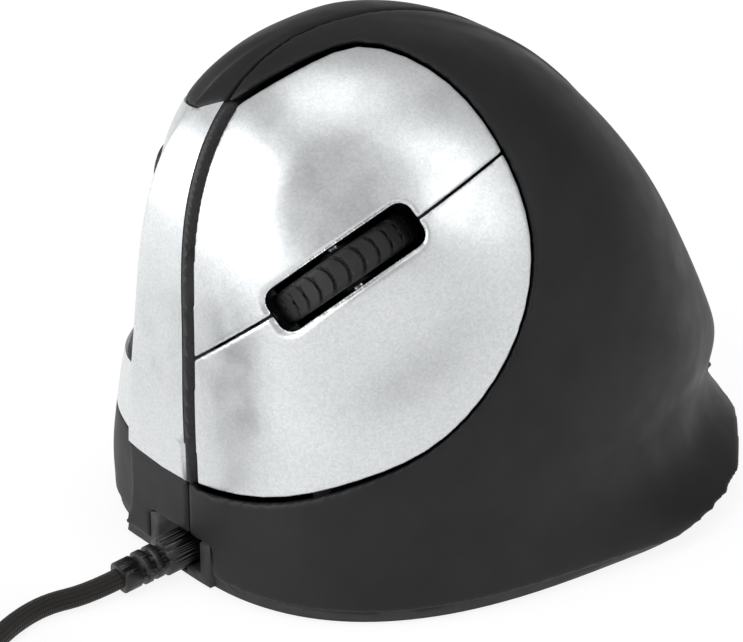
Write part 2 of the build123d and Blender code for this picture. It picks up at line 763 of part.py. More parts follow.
def make_base_plate():
    base = base_shape(base_bottom, base_top)
    port_top = port_height - port_gap
    cheeks = form(seam_gap) & port_box(port_gap, port_top)
    cheeks &= block(world, (-beyond, -beyond, base_bottom), (beyond, port_wall_back - port_gap, beyond))
    mouth_grow = (port_x[1] - port_x[0]) * port_mouth_share
    mouth_y = -half_length - mouth_grow
    mouth = Polyline((port_x[0] + mouth_grow, mouth_y), (port_x[1] - mouth_grow, mouth_y),
                     (port_throat_x[1], port_throat_back), (port_throat_x[0], port_throat_back), close=True)
    base += cheeks - prism(world, make_face(mouth), (base_top, beyond))
    base -= boot_space()
    for x in (main_board_low[0] + standoff_inset, main_board_high[0] - standoff_inset):
        for y in (main_board_low[1] + standoff_inset, main_board_high[1] - standoff_inset):
            base += rod(world, x, y, standoff_radius, (base_bottom, main_board_bottom))
    lens_x, lens_y = [(a + b) / 2 for a, b in zip(lens_low, lens_high)]
    base -= rod(world, lens_x, lens_y, lens_nose_radius + plunger_clearance, (0, base_top))
    head = (0, base_bottom + screw_head_height + fit_gap)
    for x, y in screw_places():
        base -= rod(world, x, y, screw_radius + fit_gap, (0, main_board_bottom))
        base -= rod(world, x, y, screw_head_radius + fit_gap, head)
    return base


def screw_places():
    return list(boss_points()) + [(frame_screw_x, y) for y in frame_screw_y]


def make_screws(places, length):
    screws = Part()
    for x, y in places:
        screw = rod(world, x, y, screw_head_radius, (base_bottom, base_bottom + screw_head_height))
        screw += rod(world, x, y, screw_radius - running_gap, (base_bottom, base_bottom + length))
        drive = Pos(x, y, base_bottom) * extrude(RegularPolygon(screw_radius * drive_share, 6), amount=screw_head_height / 2)
        screws += screw - drive
    return screws


def make_feet():
    feet = Part()
    for x, y in foot_places:
        feet += Pos(x, y, 0) * extrude(SlotOverall(foot_length, foot_width), amount=base_bottom)
    return feet


def make_main_board():
    low, high = main_board_low, main_board_high
    return block(world, (*low, main_board_bottom), (*high, main_board_top))


def make_lens():
    lens_x, lens_y = [(a + b) / 2 for a, b in zip(lens_low, lens_high)]
    lens = block(world, (*lens_low, base_top), (*lens_high, main_board_bottom))
    return lens + rod(world, lens_x, lens_y, lens_nose_radius, (lens_nose_bottom, main_board_bottom))


def make_boot():
    """Ribbed strain relief: collar in the port, neck with rings, and a flange behind the port's wall."""
    boot = rod(boot_frame, 0, 0, neck_radius, (flange_span[0], boot_tip))
    boot += rod(boot_frame, 0, 0, collar_radius, collar_span)
    boot += rod(boot_frame, 0, 0, flange_radius, flange_span)
    boot += rod(boot_frame, 0, 0, tip_radius, (boot_tip - tip_length, boot_tip))
    for start in ring_starts:
        boot += rod(boot_frame, 0, 0, ring_radius, (start, start + ring_length))
    return boot


def corner_radii(points, largest=beyond):
    """Radius at each inner point: 0.45 of the shorter run over the tangent of half the turn."""
    radii = []
    for a, b, c in zip(points, points[1:], points[2:]):
        half_turn = radians((b - a).get_angle(c - b)) / 2
        radii.append(min(largest, run_share * min((b - a).length, (c - b).length) / tan(half_turn)))
    return radii


def make_tube(name, points, radius, largest=beyond):
    """Round tube along straight runs joined by tangent arcs."""
    radii = corner_radii(points, largest)
    path = FilletPolyline(*points, radius=radii)
    start = Plane(points[0], z_dir=points[1] - points[0])
    tube = sweep(start * Circle(radius), path=path)
    print(name, "runs", [round((b - a).length, 1) for a, b in zip(points, points[1:])],
          "radii", [round(r, 1) for r in radii],
          "volume over section times length", round(tube.volume / (pi * radius ** 2 * path.length), 4))
    return tube


def along(place, z):
    """Point on the Z axis of a place."""
    return (place * Pos(0, 0, z)).position


def make_inner_cable():
    points = [along(boot_frame, flange_span[0]), along(boot_frame, flange_span[0] - inner_cable_start)]
    points += [Vector(*p) for p in inner_cable_points]
    end_x = (connector_low[0] + connector_high[0]) / 2
    end_z = inner_cable_points[-1][2]
    points.append(Vector(end_x, connector_low[1], end_z))
    return make_tube("inner_cable", points, inner_cable_radius)


def make_finger_lead():
    middle = -(plate_top_depth + board_top_depth) / 2
    edge = finger_board_low[0]
    points = [(slot_frame * Pos(edge - run, finger_lead_across, middle)).position for run in (0, finger_lead_run)]
    points += [Vector(*p) for p in finger_lead_points]
    points.append(Vector(*finger_lead_points[-1][:2], main_board_top))
    return make_tube("finger_lead", points, lead_radius)


def make_thumb_lead():
    x, y = thumb_lead_start
    bottom = thumb_board_top - board_thickness
    points = [(thumb_frame * Pos(x, y, bottom - drop)).position for drop in (0, thumb_lead_rise)]
    points += [Vector(*p) for p in thumb_lead_points]
    points.append(Vector(*thumb_lead_points[-1][:2], main_board_top))
    return make_tube("thumb_lead", points, lead_radius)


def smooth(share):
    """Eases from 0 to 1 while share goes from 0 to 1."""
    share = max(0, min(1, share))
    return share * share * (3 - 2 * share)


layer_turns = coil_layers * turns_per_layer
coil_bottom = coil_lift + cable_diameter / 2
plug_height = grip_size[1] / 2 + seam_gap


def coil_point(turn):
    """Point on the coil after some turns: piled spirals, then the tail that leads down to the plug."""
    in_pair = turn % (2 * turns_per_layer)
    radius = coil_radius - coil_pitch * min(in_pair, 2 * turns_per_layer - in_pair)
    height = coil_bottom
    for layer in range(1, coil_layers):
        height += coil_pitch * smooth((turn - layer * turns_per_layer + climb_turns) / (2 * climb_turns))
    if turn > layer_turns:
        done = (turn - layer_turns) / (2 * climb_turns)
        radius = coil_radius + (coil_tail_radius - coil_radius) * smooth(done)
        height += (plug_height - height) * smooth(done)
    angle = radians(coil_entry_angle) - 2 * pi * turn
    return Vector(coil_middle[0] + radius * cos(angle), coil_middle[1] + radius * sin(angle), height)


def coil_heading(turn):
    """Direction of travel on the coil; its two ends run level and square to the radius."""
    if turn in (0, layer_turns + 2 * climb_turns):
        angle = radians(coil_entry_angle) - 2 * pi * turn
        return Vector(sin(angle), -cos(angle), 0)
    return (coil_point(turn + turn_step) - coil_point(turn - turn_step)).normalized()


def biarc(p0, t0, p1, t1):
    """Two tangent arcs between two points with given directions."""
    v, t = p1 - p0, t0 + t1
    spread = 2 * (1 - t0.dot(t1))
    d = (-v.dot(t) + (v.dot(t) ** 2 + spread * v.dot(v)) ** 0.5) / spread
    middle = (p0 + p1 + (t0 - t1) * d) / 2
    first = TangentArc(p0, middle, tangent=t0)
    return [*first.edges(), *TangentArc(middle, p1, tangent=first % 1).edges()]


def coil_ends():
    """First and last points of the coil's tube, and its heading there."""
    last = layer_turns + 2 * climb_turns
    run = cable_diameter * end_run_share
    first_point = coil_point(0) - coil_heading(0) * run
    last_point = coil_point(last) + coil_heading(last) * run
    return first_point, last_point


def make_coil():
    first, last = coil_ends()
    turns = [i * climb_turns for i in range(round((layer_turns + 2 * climb_turns) / climb_turns) + 1)]
    edges = [Edge.make_line(first, coil_point(0))]
    for a, b in zip(turns, turns[1:]):
        edges += biarc(coil_point(a), coil_heading(a), coil_point(b), coil_heading(b))
    edges.append(Edge.make_line(coil_point(turns[-1]), last))
    path = Wire(edges)
    coil = sweep(Plane(first, z_dir=coil_heading(0)) * Circle(cable_diameter / 2), path=path)
    section = pi * cable_diameter ** 2 / 4
    print("cable_coil length", round(path.length), "volume over section times length",
          round(coil.volume / (section * path.length), 4), "least gap to itself", round(least_gap(edges), 2))
    return coil


def least_gap(edges):
    """Smallest clear distance between parts of the coil that are over one diameter apart along it."""
    points, stations, station = [], [], 0
    for edge in edges:
        count = max(2, ceil(edge.length / cable_diameter * 2))
        for i in range(count):
            points.append(edge.position_at(i / count))
            stations.append(station + edge.length * i / count)
        station += edge.length
    least = beyond
    near = cable_diameter * pi
    for i, p in enumerate(points):
        for q, place in zip(points[i + 1:], stations[i + 1:]):
            if place - stations[i] > near:
                least = min(least, (p - q).length)
    return least - cable_diameter


def make_tie():
    """Flat band round the coil, resting on the desk under it."""
    inner = coil_radius - coil_pitch * turns_per_layer - cable_diameter / 2 - tie_gap
    outer = coil_radius + cable_diameter / 2 + tie_gap
    top = coil_bottom + coil_pitch * (coil_layers - 1) + cable_diameter / 2 + tie_gap
    place = Pos(*coil_middle, 0) * Rot(0, 0, tie_angle)
    low, high = -tie_width / 2, tie_width / 2
    band = block(place, (inner - tie_thickness, low, 0), (outer + tie_thickness, high, top + tie_thickness))
    return band - block(place, (inner, low, tie_thickness), (outer, high, top))


def make_plug():
    """Plug at the end of the coil: grip with its neck, hollow metal shell and the tongue in it."""
    start = coil_ends()[1]
    heading = coil_heading(layer_turns + 2 * climb_turns)
    place = Plane(start, x_dir=(heading.Y, -heading.X, 0), z_dir=heading).location
    grip_start = plug_neck_length
    grip_end = grip_start + grip_size[2]
    grip = rod(place, 0, 0, plug_neck_radius, (0, grip_start + grip_fillet))
    grip += prism(place, RectangleRounded(grip_size[0], grip_size[1], grip_fillet), (grip_start, grip_end))
    w, h = usb_size[0] / 2, usb_size[1] / 2
    grip -= block(place, (-w - seam_gap, -h - seam_gap, grip_end - usb_sunk), (w + seam_gap, h + seam_gap, grip_end))
    usb_start = grip_end - usb_sunk
    usb_end = usb_start + usb_size[2]
    usb = block(place, (-w, -h, usb_start), (w, h, usb_end))
    usb -= block(place, (usb_wall - w, usb_wall - h, usb_start + usb_wall), (w - usb_wall, h - usb_wall, usb_end))
    tw, th = tongue_size[0] / 2, tongue_size[1] / 2
    tongue = block(place, (-tw, -th - tongue_raise, usb_start + usb_wall),
                   (tw, th - tongue_raise, usb_start + tongue_size[2]))
    return grip, usb, tongue


def cable_route():
    """Points of the cable's free stretch, from the boot to the coil."""
    end = coil_ends()[0]
    points = [along(boot_frame, boot_tip), along(boot_frame, boot_tip + cable_start_run)]
    points += [Vector(*p) for p in cable_points]
    return points + [end - coil_heading(0) * cable_end_run, end]


if __name__ == "__main__":
    export("base_plate", make_base_plate())
    export("glide_feet", make_feet())
    export("base_screws", make_screws(boss_points(), screw_length))
    export("frame_screws", make_screws([(frame_screw_x, y) for y in frame_screw_y], frame_screw_length))
    export("finger_shell", make_finger_shell())
    export("thumb_shell", make_thumb_shell())
    export("ridge_strip", make_ridge_strip())
    export("index_button", make_button(1, index_barrel))
    export("middle_button", make_button(-1, middle_barrel))
    export("thumb_panel", make_thumb_panel())
    export("thumb_rest", make_thumb_rest())
    export("forward_button", make_thumb_button(1))
    export("back_button", make_thumb_button(-1))
    export("inner_frame", make_inner_frame())
    pin_span = (hinge_ears[0][0] - fit_gap, hinge_ears[-1][1] + fit_gap)
    export("hinge_pin", cross_rod(slot_frame, hinge_along, -hinge_depth, pin_radius, pin_span))
    export("finger_board", make_finger_board())
    for name, side in (("index", 1), ("middle", -1)):
        switch, plunger = make_switch(side)
        export(name + "_switch", switch)
        export(name + "_plunger", plunger)
    export("wheel_tyre", make_tyre())
    export("wheel_hub", make_hub())
    export("wheel_axle", cross_rod(slot_frame, 0, -axle_depth, axle_radius, axle_across))
    export("wheel_carrier", make_carrier())
    pin_span = (carrier_ears[0][0] - fit_gap, carrier_ears[1][1] + fit_gap)
    export("carrier_pin", cross_rod(slot_frame, carrier_pin_along, -axle_depth, carrier_pin_radius, pin_span))
    export("scroll_encoder", make_encoder())
    switch, plunger = make_click_switch()
    export("click_switch", switch)
    export("click_plunger", plunger)
    export("thumb_board", make_thumb_board())
    for name, side in (("forward", 1), ("back", -1)):
        switch, plunger = make_thumb_switch(side)
        export(name + "_switch", switch)
        export(name + "_plunger", plunger)
    export("main_board", make_main_board())
    export("controller_chip", block(world, (*controller_low, main_board_top),
                                    (*controller_high, main_board_top + controller_height)))
    export("sensor_chip", block(world, (*chip_low, main_board_top), (*chip_high, main_board_top + chip_height)))
    export("sensor_lens", make_lens())
    export("board_connector", block(world, (*connector_low, main_board_top),
                                    (*connector_high, main_board_top + connector_height)))
    export("strain_relief", make_boot())
    export("inner_cable", make_inner_cable())
    export("finger_lead", make_finger_lead())
    export("thumb_lead", make_thumb_lead())
    export("cable", make_tube("cable", cable_route(), cable_diameter / 2))
    export("cable_coil", make_coil())
    export("coil_tie", make_tie())
    for name, piece in zip(("plug_grip", "plug_shell", "plug_tongue"), make_plug()):
        export(name, piece)
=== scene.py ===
from math import cos, pi, radians, sin

import bmesh
import bpy
from mathutils import Matrix, Vector


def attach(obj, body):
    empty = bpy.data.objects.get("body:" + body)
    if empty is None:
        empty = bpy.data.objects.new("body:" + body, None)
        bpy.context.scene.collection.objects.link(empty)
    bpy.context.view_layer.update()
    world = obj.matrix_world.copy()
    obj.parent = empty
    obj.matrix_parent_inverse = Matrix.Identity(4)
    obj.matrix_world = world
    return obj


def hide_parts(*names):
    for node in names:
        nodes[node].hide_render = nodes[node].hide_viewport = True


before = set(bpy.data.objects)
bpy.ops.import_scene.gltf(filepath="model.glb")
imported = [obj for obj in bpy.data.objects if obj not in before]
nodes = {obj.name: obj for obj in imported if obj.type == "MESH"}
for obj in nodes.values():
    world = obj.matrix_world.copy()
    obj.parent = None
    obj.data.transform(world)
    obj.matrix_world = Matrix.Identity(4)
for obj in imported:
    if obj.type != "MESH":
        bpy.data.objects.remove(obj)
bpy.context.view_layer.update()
mm = 0.001

# camera, fitted to the photo; lengths in millimetres
photoView = {"target": (-1.96, -9.26, 40), "azimuth": 50, "elevation": 27}
camera = {**photoView, "distance": 650, "lens": 199.4, "sensor": 36, "clipStart": 10,
          "shiftX": -0.0574, "shiftY": -0.0751}


def facing(azimuth, elevation):
    # columns: right, up, out
    a, e = radians(azimuth), radians(elevation)
    right = Vector((cos(a), sin(a), 0))
    up = Vector((-sin(a) * sin(e), cos(a) * sin(e), cos(e)))
    out = Vector((sin(a) * cos(e), -cos(a) * cos(e), sin(e)))
    return Matrix((right, up, out)).transposed()


def addCamera(settings):
    data = bpy.data.cameras.new("camera")
    view = bpy.data.objects.new("camera", data)
    bpy.context.scene.collection.objects.link(view)
    turn = facing(settings["azimuth"], settings["elevation"])
    place = Vector([v * mm for v in settings["target"]]) + turn.col[2] * (settings["distance"] * mm)
    view.matrix_world = Matrix.Translation(place) @ turn.to_4x4()
    data.lens = settings["lens"]
    data.sensor_width = settings["sensor"]
    data.shift_x = settings["shiftX"]
    data.shift_y = settings["shiftY"]
    data.clip_start = settings["clipStart"] * mm
    bpy.context.scene.camera = view


addCamera(camera)
bpy.context.scene.view_settings.view_transform = "Standard"
print("camera set")


# materials; sizes and heights of a texture are in millimetres
texture = {"grainDetail": 2.0, "variationDetail": 3.0, "variationEnds": (0.35, 0.65)}
white = (1, 1, 1, 1)


def hexColor(value):
    # sRGB hex to linear
    channels = [int(value[i:i + 2], 16) / 255 for i in (1, 3, 5)]
    linear = [c / 12.92 if c <= 0.04045 else ((c + 0.055) / 1.055) ** 2.4 for c in channels]
    return (*linear, 1)


def addNode(tree, kind, settings=None, links=None):
    # adds one node; links maps an input to (node, output)
    node = tree.nodes.new(kind)
    for name, value in (settings or {}).items():
        if isinstance(name, str) and hasattr(node, name):
            setattr(node, name, value)
        else:
            node.inputs[name].default_value = value
    for name, (source, output) in (links or {}).items():
        tree.links.new(source.outputs[output], node.inputs[name])
    return node


def newMaterial(name, color, roughness, metallic=0.0, shader=None):
    material = bpy.data.materials.new(name)
    material.use_nodes = True
    tree = material.node_tree
    surface = tree.nodes["Principled BSDF"]
    surface.inputs["Base Color"].default_value = hexColor(color)
    surface.inputs["Roughness"].default_value = roughness
    surface.inputs["Metallic"].default_value = metallic
    for socket, value in (shader or {}).items():
        surface.inputs[socket].default_value = value
    return material, tree, surface


def objectCoords(tree, scale=(1, 1, 1)):
    coords = addNode(tree, "ShaderNodeTexCoord")
    return addNode(tree, "ShaderNodeMapping", {"Scale": scale}, {"Vector": (coords, "Object")})


def addGrain(tree, surface, coords, size, height):
    # bump from a fine grain
    settings = {"Scale": 1 / (size * mm), "Detail": texture["grainDetail"]}
    grain = addNode(tree, "ShaderNodeTexNoise", settings, {"Vector": (coords, "Vector")})
    bump = addNode(tree, "ShaderNodeBump", {"Strength": 1.0, "Distance": height * mm}, {"Height": (grain, "Fac")})
    tree.links.new(bump.outputs["Normal"], surface.inputs["Normal"])


def addVariation(tree, surface, coords, low, high, size, socket="Base Color"):
    # slow change of colour or roughness over the surface
    settings = {"Scale": 1 / (size * mm), "Detail": texture["variationDetail"]}
    noise = addNode(tree, "ShaderNodeTexNoise", settings, {"Vector": (coords, "Vector")})
    ramp = addNode(tree, "ShaderNodeValToRGB", {}, {"Fac": (noise, "Fac")})
    for element, value, end in zip(ramp.color_ramp.elements, (low, high), texture["variationEnds"]):
        element.position = end
        element.color = hexColor(value) if isinstance(value, str) else (value, value, value, 1)
    tree.links.new(ramp.outputs["Color"], surface.inputs[socket])


def softTouchRubberCoat():
    # ABS with a sprayed soft-touch coat: deep black, wide dull sheen, fine grain drawn coarse enough to show
    material, tree, surface = newMaterial("softTouchCoat", "#19191b", 0.5, shader={"Specular IOR Level": 0.26})
    coords = objectCoords(tree)
    addGrain(tree, surface, coords, size=0.28, height=0.012)
    addVariation(tree, surface, coords, "#171719", "#1c1c1e", size=9)
    addVariation(tree, surface, coords, 0.48, 0.56, size=6, socket="Roughness")
    return material


def silverLacquer():
    # ABS sprayed with silver lacquer: bright satin metal, fine flake drawn coarse enough to show
    coat = {"Coat Weight": 0.2, "Coat Roughness": 0.25}
    material, tree, surface = newMaterial("silverLacquer", "#d6d8da", 0.34, metallic=0.85, shader=coat)
    coords = objectCoords(tree)
    flakeSize, flakeHeight = 0.32, 0.006
    flake = addNode(tree, "ShaderNodeTexVoronoi", {"Scale": 1 / (flakeSize * mm)}, {"Vector": (coords, "Vector")})
    shade = addNode(tree, "ShaderNodeValToRGB", {}, {"Fac": (flake, "Color")})
    shade.color_ramp.elements[0].color = hexColor("#cccfd1")
    shade.color_ramp.elements[1].color = hexColor("#dfe1e2")
    tree.links.new(shade.outputs["Color"], surface.inputs["Base Color"])
    addVariation(tree, surface, coords, 0.33, 0.41, size=5, socket="Roughness")
    relief = {"Strength": 0.2, "Distance": flakeHeight * mm}
    bump = addNode(tree, "ShaderNodeBump", relief, {"Height": (flake, "Distance")})
    tree.links.new(bump.outputs["Normal"], surface.inputs["Normal"])
    return material


def grainedStrip():
    # moulded black strip with a leather-like grain
    material, tree, surface = newMaterial("grainedStrip", "#121213", 0.55)
    coords = objectCoords(tree)
    cellSize, cellHeight = 0.5, 0.05
    cells = addNode(tree, "ShaderNodeTexVoronoi", {"Scale": 1 / (cellSize * mm)}, {"Vector": (coords, "Vector")})
    relief = {"Strength": 1.0, "Distance": cellHeight * mm}
    bump = addNode(tree, "ShaderNodeBump", relief, {"Height": (cells, "Distance")})
    tree.links.new(bump.outputs["Normal"], surface.inputs["Normal"])
    addVariation(tree, surface, coords, "#0c0c0d", "#1d1d1f", size=0.7)
    return material


def mouldedPlastic(name, color, roughness, grain, height):
    # injection moulded ABS with spark-eroded grain
    material, tree, surface = newMaterial(name, color, roughness)
    coords = objectCoords(tree)
    addGrain(tree, surface, coords, grain, height)
    addVariation(tree, surface, coords, roughness - 0.05, roughness + 0.06, size=4, socket="Roughness")
    return material


def tyreRubber():
    # moulded silicone rubber: dark grey, dull, faint skin marks
    material, tree, surface = newMaterial("tyreRubber", "#1c1c1e", 0.62, shader={"Specular IOR Level": 0.35})
    coords = objectCoords(tree)
    addGrain(tree, surface, coords, size=0.22, height=0.014)
    addVariation(tree, surface, coords, "#19191b", "#212123", size=3)
    return material


def turnedSteel(name, color, roughness):
    # ground steel: fine lines from the grinding wheel
    material, tree, surface = newMaterial(name, color, roughness, metallic=1.0)
    coords = objectCoords(tree, scale=(1, 1, 12))
    addGrain(tree, surface, coords, size=0.5, height=0.004)
    addVariation(tree, surface, coords, roughness - 0.06, roughness + 0.08, size=1.5, socket="Roughness")
    return material


def boardLaminate():
    # glass laminate with green solder mask; the copper below shows as paler tracks
    material, tree, surface = newMaterial("solderMask", "#0f4a26", 0.32, shader={"Coat Weight": 0.4})
    coords = objectCoords(tree)
    trackPitch = 6
    settings = {"Scale": 1 / (trackPitch * mm), "Mortar Size": 0.05, "Color1": hexColor("#0c3d20"),
                "Color2": hexColor("#114a28"), "Mortar": hexColor("#1f6b3c")}
    tracks = addNode(tree, "ShaderNodeTexBrick", settings, {"Vector": (coords, "Vector")})
    tree.links.new(tracks.outputs["Color"], surface.inputs["Base Color"])
    return material


def clearLens():
    # polycarbonate optic: clear, slightly uneven in its polish
    optic = {"IOR": 1.585, "Transmission Weight": 0.95}
    material, tree, surface = newMaterial("clearOptic", "#eef3f4", 0.06, shader=optic)
    addVariation(tree, surface, objectCoords(tree), 0.03, 0.1, size=4, socket="Roughness")
    return material


def braidedSleeve():
    # polyester braid: two sets of flat yarns cross, read along and round the cable
    braid = {"yarns": 8, "pick": 0.9, "height": 0.12}
    sheen = {"Sheen Weight": 0.12, "Sheen Roughness": 0.5, "Specular IOR Level": 0.3}
    material, tree, surface = newMaterial("polyesterBraid", "#2b2725", 0.78, shader=sheen)
    uv = addNode(tree, "ShaderNodeUVMap", {"uv_map": "along"})
    split = addNode(tree, "ShaderNodeSeparateXYZ", {}, {"Vector": (uv, "UV")})
    times, plus = {"operation": "MULTIPLY"}, {"operation": "ADD"}
    along = addNode(tree, "ShaderNodeMath", {**times, 1: 2 * pi / braid["pick"]}, {0: (split, "X")})
    waves = []
    for sign in (1, -1):
        turns = sign * braid["yarns"] * 2 * pi
        around = addNode(tree, "ShaderNodeMath", {**times, 1: turns}, {0: (split, "Y")})
        angle = addNode(tree, "ShaderNodeMath", plus, {0: (around, 0), 1: (along, 0)})
        waves.append(addNode(tree, "ShaderNodeMath", {"operation": "SINE"}, {0: (angle, 0)}))
    over = addNode(tree, "ShaderNodeMath", times, {0: (waves[0], 0), 1: (waves[1], 0)})
    level = addNode(tree, "ShaderNodeMapRange", {"From Min": -1.0, "From Max": 1.0}, {"Value": (over, 0)})
    # painted shade: the colour follows the same weave height as the bump, darker in the hollows between the yarns
    shade = addNode(tree, "ShaderNodeValToRGB", {}, {"Fac": (level, 0)})
    shade.color_ramp.elements[0].color = hexColor("#0e0d0c")
    shade.color_ramp.elements[1].color = hexColor("#2e2a27")
    tree.links.new(shade.outputs["Color"], surface.inputs["Base Color"])
    relief = {"Strength": 1.0, "Distance": braid["height"] * mm}
    bump = addNode(tree, "ShaderNodeBump", relief, {"Height": (level, 0)})
    tree.links.new(bump.outputs["Normal"], surface.inputs["Normal"])
    return material


def wovenBand():
    # hook-and-loop tie: short black pile
    material, tree, surface = newMaterial("pileBand", "#19191a", 0.9, shader={"Sheen Weight": 0.5})
    coords = objectCoords(tree)
    addGrain(tree, surface, coords, size=0.35, height=0.12)
    addVariation(tree, surface, coords, "#141415", "#212122", size=1.2)
    return material


# moulded plastic: name, colour, roughness, size and height of the grain
# turned steel: name, colour, roughness
finishes = {
    "softTouch": softTouchRubberCoat(),
    "silver": silverLacquer(),
    "strip": grainedStrip(),
    "base": mouldedPlastic("grainedBase", "#222224", 0.6, 0.35, 0.03),
    "frame": mouldedPlastic("frameMoulding", "#303033", 0.55, 0.5, 0.02),
    "switch": mouldedPlastic("switchMoulding", "#202022", 0.45, 0.3, 0.01),
    "chip": mouldedPlastic("chipMoulding", "#1c1c1f", 0.5, 0.2, 0.01),
    "plunger": mouldedPlastic("plungerMoulding", "#d9d8d2", 0.35, 0.3, 0.005),
    "tongue": mouldedPlastic("tongueMoulding", "#e2e1dc", 0.4, 0.3, 0.005),
    "feet": mouldedPlastic("slipPad", "#17171a", 0.3, 0.6, 0.008),
    "rest": mouldedPlastic("thumbRestRubber", "#18181a", 0.7, 0.3, 0.04),
    "thumbKey": mouldedPlastic("thumbKeyGloss", "#3a3a3d", 0.22, 0.5, 0.003),
    "boot": mouldedPlastic("bootMoulding", "#101011", 0.42, 0.4, 0.01),
    "tyre": tyreRubber(),
    "screw": turnedSteel("zincScrew", "#b4b3ad", 0.34),
    "pin": turnedSteel("groundPin", "#c4c4c6", 0.26),
    "plug": turnedSteel("bentPlugShell", "#d4d4d6", 0.2),
    "board": boardLaminate(),
    "lens": clearLens(),
    "braid": braidedSleeve(),
    "band": wovenBand(),
}
print("materials made:", len(finishes))


# cable: out of the boot, along the floor, round the coil and out to the plug
cable = {
    "diameter": 3.3, "fromBoot": [(-5.541, -65.756, 2.759), (-6.021, -71.677, 1.918)],
    "route": [(-8.06, -77.8, 1.7), (-6.96, -84.3, 1.7), (-3.96, -91.0, 1.75), (-0.76, -97.2, 2.2)],
    "middle": (-15.16, -122.8), "radius": 23.5, "pitch": 4.1, "bottom": 2.85, "entry": 23.5,
    "layerTurns": 3, "layers": 4, "climbTurns": 0.5, "tailTurns": 0.5, "widen": 1.008,
    "tailRadius": 35.0, "plugHeight": 4.05, "endRun": 7.0, "straight": 3.465,
    "pointsPerTurn": 16, "order": 3, "resolution": 5, "sides": 14,
}


def ease(share):
    share = max(0.0, min(1.0, share))
    return share * share * (3 - 2 * share)


def coilPoint(settings, turn, widen=1.0):
    layer, total = settings["layerTurns"], settings["layerTurns"] * settings["layers"]
    inPair = turn % (2 * layer)
    radius = settings["radius"] - settings["pitch"] * min(inPair, 2 * layer - inPair)
    height = settings["bottom"]
    climb = settings["climbTurns"]
    for step in range(1, settings["layers"]):
        height += settings["pitch"] * ease((turn - step * layer + climb / 2) / climb)
    if turn > total:
        done = (turn - total) / settings["tailTurns"]
        radius = settings["radius"] + (settings["tailRadius"] - settings["radius"]) * ease(done)
        height += (settings["plugHeight"] - height) * ease(done)
    angle = radians(settings["entry"]) - 2 * pi * turn
    middle = settings["middle"]
    return Vector((middle[0] + radius * widen * cos(angle), middle[1] + radius * widen * sin(angle), height))


def cableRoute(settings):
    points = [Vector(p) for p in settings["fromBoot"] + settings["route"]]
    start = coilPoint(settings, 0)
    angle = radians(settings["entry"])
    heading = Vector((sin(angle), -cos(angle), 0))
    first = start - heading * settings["straight"]
    points += [first - heading * settings["endRun"], first]
    count = settings["pointsPerTurn"]
    total = settings["layerTurns"] * settings["layers"] + settings["tailTurns"]
    for i in range(int(total * count) + 1):
        points.append(coilPoint(settings, i / count, settings["widen"]))
    # half a turn on, the heading is reversed
    points.append(coilPoint(settings, total) - heading * settings["straight"])
    return [p * mm for p in points]


def routeLine(points, settings):
    # a smooth line on the route's points, read back as close points
    curve = bpy.data.curves.new("cableLine", "CURVE")
    curve.dimensions = "3D"
    spline = curve.splines.new("NURBS")
    spline.points.add(len(points) - 1)
    for point, place in zip(spline.points, points):
        point.co = (*place, 1)
    spline.order_u = settings["order"]
    spline.use_endpoint_u = True
    spline.resolution_u = settings["resolution"]
    holder = bpy.data.objects.new("cableLine", curve)
    bpy.context.scene.collection.objects.link(holder)
    bpy.context.view_layer.update()
    line = bpy.data.meshes.new_from_object(holder)
    places = [v.co.copy() for v in line.vertices]
    bpy.data.objects.remove(holder)
    return places


def sweepTube(name, path, radius, sides):
    # round tube whose map runs in millimetres along and once round
    mesh = bpy.data.meshes.new(name)
    form = bmesh.new()
    layer = form.loops.layers.uv.new("along")
    up = Vector((0, 0, 1))
    rings, lengths, length = [], [], 0.0
    for i, place in enumerate(path):
        ahead = (path[min(i + 1, len(path) - 1)] - path[max(i - 1, 0)]).normalized()
        side = ahead.cross(up).normalized()
        up = side.cross(ahead).normalized()
        angles = [2 * pi * k / sides for k in range(sides)]
        rings.append([form.verts.new(place + (side * cos(a) + up * sin(a)) * radius) for a in angles])
        if i:
            length += (place - path[i - 1]).length / mm
        lengths.append(length)
    for i in range(len(rings) - 1):
        for k in range(sides):
            n = (k + 1) % sides
            face = form.faces.new((rings[i][k], rings[i][n], rings[i + 1][n], rings[i + 1][k]))
            face.smooth = True
            spots = ((lengths[i], k), (lengths[i], k + 1), (lengths[i + 1], k + 1), (lengths[i + 1], k))
            for loop, (u, v) in zip(face.loops, spots):
                loop[layer].uv = (u, v / sides)
    form.faces.new(list(reversed(rings[0])))
    form.faces.new(rings[-1])
    bmesh.ops.recalc_face_normals(form, faces=form.faces)
    form.to_mesh(mesh)
    form.free()
    tube = bpy.data.objects.new(name, mesh)
    bpy.context.scene.collection.objects.link(tube)
    return tube


def setFinish(piece, finish):
    piece.data.materials.clear()
    piece.data.materials.append(finishes[finish])


route = cableRoute(cable)
cablePath = routeLine(route, cable)
braidedCable = sweepTube("braidedCable", cablePath, cable["diameter"] / 2 * mm, cable["sides"])
setFinish(braidedCable, "braid")
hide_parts("cable", "cable_coil")
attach(braidedCable, "mouse_body")


# shells, panels and small parts: angle in degrees, merge distance in millimetres
softShading = {"angle": 35, "merge": 0.004}


def selectOnly(piece):
    bpy.ops.object.select_all(action="DESELECT")
    bpy.context.view_layer.objects.active = piece
    piece.select_set(True)


def smoothCopy(node, name, finish, body, settings):
    # the node's own form as one welded surface with soft shading
    piece = bpy.data.objects.new(name, nodes[node].data.copy())
    bpy.context.scene.collection.objects.link(piece)
    setFinish(piece, finish)
    selectOnly(piece)
    bpy.ops.object.mode_set(mode="EDIT")
    bpy.ops.mesh.select_all(action="SELECT")
    bpy.ops.mesh.remove_doubles(threshold=settings["merge"] * mm)
    bpy.ops.object.mode_set(mode="OBJECT")
    bpy.ops.object.shade_smooth_by_angle(angle=radians(settings["angle"]))
    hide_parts(node)
    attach(piece, body)
    return piece


